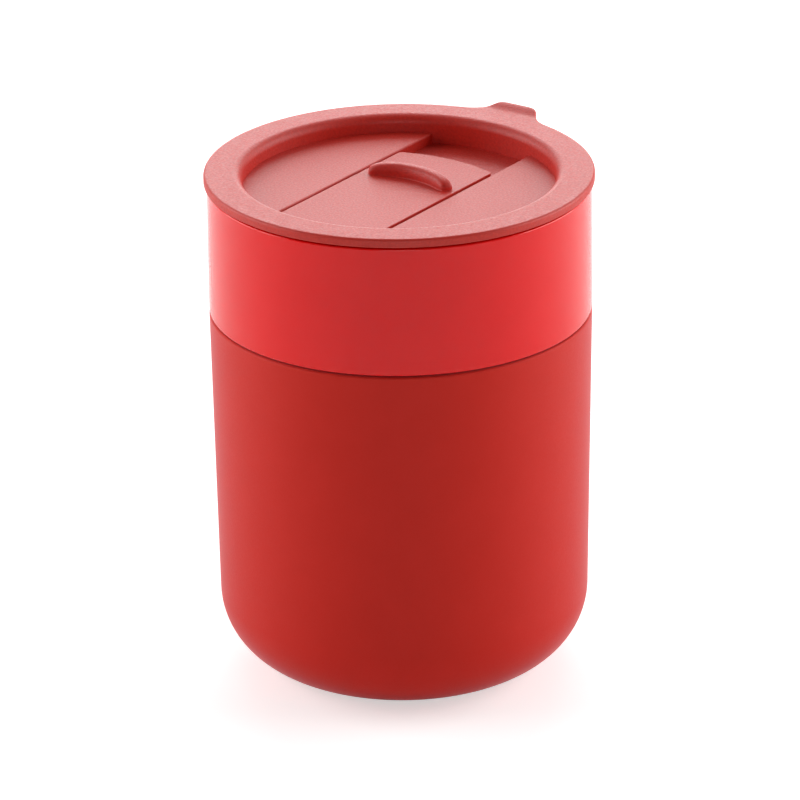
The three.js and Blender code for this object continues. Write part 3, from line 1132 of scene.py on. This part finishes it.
@dataclass
class Slider:
    """Drink cover: a plate with arc ends, tongues in the rails and a bowed finger grip."""

    half: float = 12.2 * MM
    thickness: float = 2.1 * MM
    edge: float = 0.95 * MM
    corner: float = 1.1 * MM
    tongue_height: float = 1 * MM
    tongue_front_setback: float = 6 * MM
    tongue_back_setback: float = 15 * MM
    grip_length: float = 21 * MM
    grip_width: float = 3.5 * MM
    grip_height: float = 2.75 * MM
    grip_bow: float = 3.0 * MM
    grip_setback: float = 13.75 * MM
    grip_bluntness: float = 5.0
    grip_crown: float = 3.2
    grip_fullness: float = 2.8
    grip_foot: float = 0.2 * MM
    plate: Extent = field(default_factory=lambda: Extent.of(Node.SLIDER))

    def __post_init__(self) -> None:
        """Work out the radii and heights from the frame."""
        self.bottom = self.plate.low.z
        self.top = self.bottom + self.thickness
        self.end = -self.plate.low.y
        self.travel = self.end - self.plate.high.y
        self.spread = math.degrees(math.asin(self.half / self.end))
        self.corner_y = math.sqrt(self.end**2 - self.half**2)
        self.tongue_front = self.tongue_front_setback - self.corner_y
        self.tongue_back = self.corner_y - self.travel - self.tongue_back_setback
        self.grip_middle = self.plate.high.y - self.grip_setback
        reach = self.grip_length / 2
        self.bow_radius = (reach**2 + self.grip_bow**2) / (2 * self.grip_bow)
        self.bow_angle = math.asin(reach / self.bow_radius)

    def build(self) -> bmesh.types.BMesh:
        """Model the plate, its tongues and the grip as one moulding.

        Returns:
            The slider's mesh.
        """
        mesh = bmesh.new()
        self.shape_plate(mesh)
        self.shape_grip(mesh)
        return mesh

    def shape_plate(self, mesh: bmesh.types.BMesh) -> None:
        """Raise the plate from its outline, round it, push out its tongues and open its top.

        Args:
            mesh: The slider's mesh, still empty.
        """
        pen = Pen(mesh, Plane.PLAN, self.bottom)
        pen.line(-self.half, -self.corner_y)
        pen.arc(0, 0, 2 * self.spread, 6 * ARC_STEPS)
        pen.line(self.half, self.corner_y - self.travel)
        pen.arc(0, -self.travel, 2 * self.spread, 6 * ARC_STEPS)
        pen.line(-self.half, -self.corner_y)
        base = close_outline(mesh)
        push(mesh, base, Vector((0, 0, self.thickness)))
        tall = self.thickness / 2
        upright = [e for e in mesh.edges if abs(e.verts[0].co.z - e.verts[1].co.z) > tall]
        corners = [e for e in upright if abs(abs(e.verts[0].co.x) - self.half) < LEVEL]
        soften(mesh, corners, self.corner, segments=6)
        soften(mesh, self.flat(mesh, self.top).edges, self.edge, segments=6)
        soften(mesh, self.flat(mesh, self.bottom).edges, self.edge / 2, segments=3)
        span = (self.tongue_front, self.tongue_back)
        reach = self.plate.high.x - self.half
        for side in Side:
            wall = side.value * self.half
            side_pocket(mesh, wall, span, self.bottom + self.tongue_height, side.value * reach)
        bmesh.ops.delete(mesh, geom=[self.flat(mesh, self.top)], context="FACES_ONLY")

    def flat(self, mesh: bmesh.types.BMesh, height: float) -> bmesh.types.BMFace:
        """Find the plate's large flat face at one height."""
        return max(faces_level(mesh, height), key=lambda f: f.calc_area())

    def shape_grip(self, mesh: bmesh.types.BMesh) -> None:
        """Draw half a ball out into the grip, flare its foot and join it to the plate's top.

        Args:
            mesh: The slider's mesh so far, with the plate open on top.
        """
        before = set(mesh.verts)
        lying = Matrix.Rotation(math.pi / 2, 4, "Y")
        bmesh.ops.create_uvsphere(
            mesh, u_segments=8 * ARC_STEPS, v_segments=7 * ARC_STEPS, radius=1, matrix=lying
        )

        def ridge() -> list[bmesh.types.BMFace]:
            """List the grip's faces as they are now."""
            return [face for face in mesh.faces if before.isdisjoint(face.verts)]

        cut(mesh, ridge(), Z_AXIS, 0, clear=True)
        for vert in set(mesh.verts) - before:
            vert.co = self.grip_point(vert.co)
        steps = ARC_STEPS // 2
        for step in range(1, steps + 1):
            cut(mesh, ridge(), Z_AXIS, self.top + self.grip_foot * step / steps)
        mesh.normal_update()
        for vert in set(mesh.verts) - before:
            depth = 1 - (vert.co.z - self.top) / self.grip_foot
            if depth > 0:
                outward = Vector((vert.normal.x, vert.normal.y, 0)).normalized()
                vert.co += outward * self.grip_foot * (1 - math.sqrt(max(0, 1 - depth**2)))
        fill_level(mesh, self.top)

    def grip_point(self, ball: Vector) -> Vector:
        """Place a point of a ball of radius 1 on the arched and bowed grip.

        Args:
            ball: Point of the ball.

        Returns:
            The point of the grip.
        """
        girth = arch(ball.x, 2) or 1
        full = 2 / self.grip_fullness
        side = math.copysign(abs(ball.y / girth) ** full, ball.y)
        across = side * arch(ball.x, self.grip_bluntness) * self.grip_width / 2
        reach = self.bow_radius + across
        angle = ball.x * self.bow_angle
        y = self.grip_middle - self.bow_radius + reach * math.cos(angle)
        rise = max(0, ball.z / girth) ** full * arch(ball.x, self.grip_crown) * self.grip_height
        return Vector((reach * math.sin(angle), y, self.top + rise))

    def dress(self) -> None:
        """Build the slider and give it its finish."""
        plastic = MouldedPlastic("red_slider_plastic").material()
        cover = Role("drink_slider", Node.SLIDER, Body.SLIDER, Slot.SLIDER)
        cover.publish(self.build(), plastic)


@dataclass(frozen=True)
class Softbox:
    """Square area lamp that faces the mug."""

    name: str
    azimuth: float
    elevation: float
    distance: float
    size: float
    power: float

    def place(self, centre: Vector) -> None:
        """Hang the lamp.

        Args:
            centre: Point that the lamp faces.
        """
        data = bpy.data.lights.new(self.name, "AREA")
        data.shape = "SQUARE"
        data.size = self.size
        data.energy = self.power
        lamp = bpy.data.objects.new(self.name, data)
        towards = bearing(self.azimuth, self.elevation)
        lamp.location = centre + towards * self.distance
        lamp.rotation_euler = towards.to_track_quat("Z", "Y").to_euler()
        lamp.visible_camera = False
        bpy.context.scene.collection.objects.link(lamp)


def bearing(azimuth: float, elevation: float) -> Vector:
    """Find the way from the mug to a place round it.

    Args:
        azimuth: Degrees about the mug's axis, from -Y towards +X.
        elevation: Degrees above the floor.

    Returns:
        The unit vector.
    """
    turned, rise = math.radians(azimuth), math.radians(elevation)
    level = math.cos(rise)
    return Vector((level * math.sin(turned), -level * math.cos(turned), math.sin(rise)))


@dataclass
class Studio:
    """Pale floor, soft lamps, white surroundings and the camera."""

    azimuth: float = 35.0
    elevation: float = 22.82
    distance: float = 1.1748
    roll: float = -0.74
    lens: float = 239.17
    sensor: float = 36.0
    nearest: float = 0.01
    aim: Vector = field(default_factory=lambda: Vector((0, 0, 60.95 * MM)))
    aim_shift: Span = (-0.43 * MM, -0.885 * MM)
    floor_size: float = 12.0
    floor_colour: Colour = (0.86, 0.86, 0.86, 1)
    floor_fill: float = 0.52
    floor_fade: float = 0.15
    floor_mirrored: float = 0.45
    floor_whitens: Span = (0.7, 1.0)
    sky_fade: Span = (-0.5, 0.3)
    sky_light: float = 0.72
    side_turn: float = 98.0

    def lamps(self) -> list[Softbox]:
        """List the lamps: one at each side, a low one behind and a weak low one in front.

        Returns:
            The four lamps.
        """
        front, back = self.azimuth, self.azimuth + 180
        left, right = self.azimuth - self.side_turn, self.azimuth + self.side_turn
        side = {"elevation": 18, "distance": 1.1, "size": 0.9}
        return [
            Softbox("side_left", left, power=8.9, **side),
            Softbox("side_right", right, power=10.1, **side),
            Softbox("low_back", back, elevation=22, distance=1.3, size=0.9, power=9.6),
            Softbox("low_front", front, elevation=12, distance=1.6, size=0.6, power=4.4),
        ]

    def ahead(self, desk: Desk, way: bpy.types.NodeSocket) -> bpy.types.NodeSocket:
        """Tell how far a place or a direction lies on the camera's side of the mug."""
        inputs = {0: way, 1: bearing(self.azimuth, 0)}
        return desk.add("ShaderNodeVectorMath", inputs, operation="DOT_PRODUCT").outputs["Value"]

    def build_floor(self) -> None:
        """Lay the floor, which the camera sees as white where no shadow falls."""
        mesh = bmesh.new()
        bmesh.ops.create_grid(mesh, x_segments=1, y_segments=1, size=self.floor_size / 2)
        data = bpy.data.meshes.new("floor")
        mesh.to_mesh(data)
        mesh.free()
        desk = Desk.material("floor_paper")
        fade = (-self.floor_fade, self.floor_fade)
        behind = desk.spread(self.ahead(desk, desk.place), fade, (self.floor_mirrored, 0))
        away = desk.add("ShaderNodeVectorMath", {0: desk.place}, operation="LENGTH")
        fill = desk.spread(away.outputs["Value"], self.floor_whitens, (self.floor_fill, 1))
        data.materials.append(desk.finish({
            "Base Color": self.floor_colour,
            "Roughness": 1.0,
            "Specular IOR Level": 0.0,
            "Emission Color": WHITE,
            "Emission Strength": desk.maths("MULTIPLY", desk.shown(behind), fill),
        }))
        floor = bpy.data.objects.new("floor", data)
        bpy.context.scene.collection.objects.link(floor)

    def light(self) -> None:
        """Hang the lamps and set the surroundings, white behind the mug and dark at the camera."""
        for box in self.lamps():
            box.place(self.aim)
        world = bpy.data.worlds.new("studio_white")
        bpy.context.scene.world = world
        desk = Desk(world)
        way = desk.add("ShaderNodeTexCoord").outputs["Generated"]
        behind = desk.spread(self.ahead(desk, way), self.sky_fade, (1, 0))
        white = desk.nodes["Background"]
        desk.feed(white, "Color", WHITE)
        glow = desk.maths("MULTIPLY", behind, self.sky_light)
        desk.feed(white, "Strength", desk.maths("MAXIMUM", desk.shown(behind), glow))

    def set_camera(self) -> None:
        """Stand the camera where the view is taken from."""
        data = bpy.data.cameras.new("camera")
        data.sensor_width = self.sensor
        data.sensor_fit = "HORIZONTAL"
        data.lens = self.lens
        data.clip_start = self.nearest
        camera = bpy.data.objects.new("camera", data)
        bpy.context.scene.collection.objects.link(camera)
        spot = self.aim + bearing(self.azimuth, self.elevation) * self.distance
        roll = Quaternion(Z_AXIS, math.radians(self.roll))
        rolled = (self.aim - spot).to_track_quat("-Z", "Y") @ roll
        right, up = rolled @ X_AXIS, rolled @ Y_AXIS
        target = self.aim + right * self.aim_shift[0] + up * self.aim_shift[1]
        turned = (target - spot).to_track_quat("-Z", "Y") @ roll
        camera.location = spot
        camera.rotation_euler = turned.to_euler()
        bpy.context.scene.camera = camera

    def set_up(self) -> None:
        """Build the whole studio."""
        bpy.context.scene.view_settings.view_transform = "Standard"
        self.build_floor()
        self.light()
        self.set_camera()


def main() -> None:
    """Dress each sub-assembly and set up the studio."""
    logging.basicConfig(level=logging.INFO, format="%(message)s")
    slider = Slider()
    Vessel().dress()
    Lid(slider).dress()
    slider.dress()
    Studio().set_up()


if __name__ == "__main__":
    main()
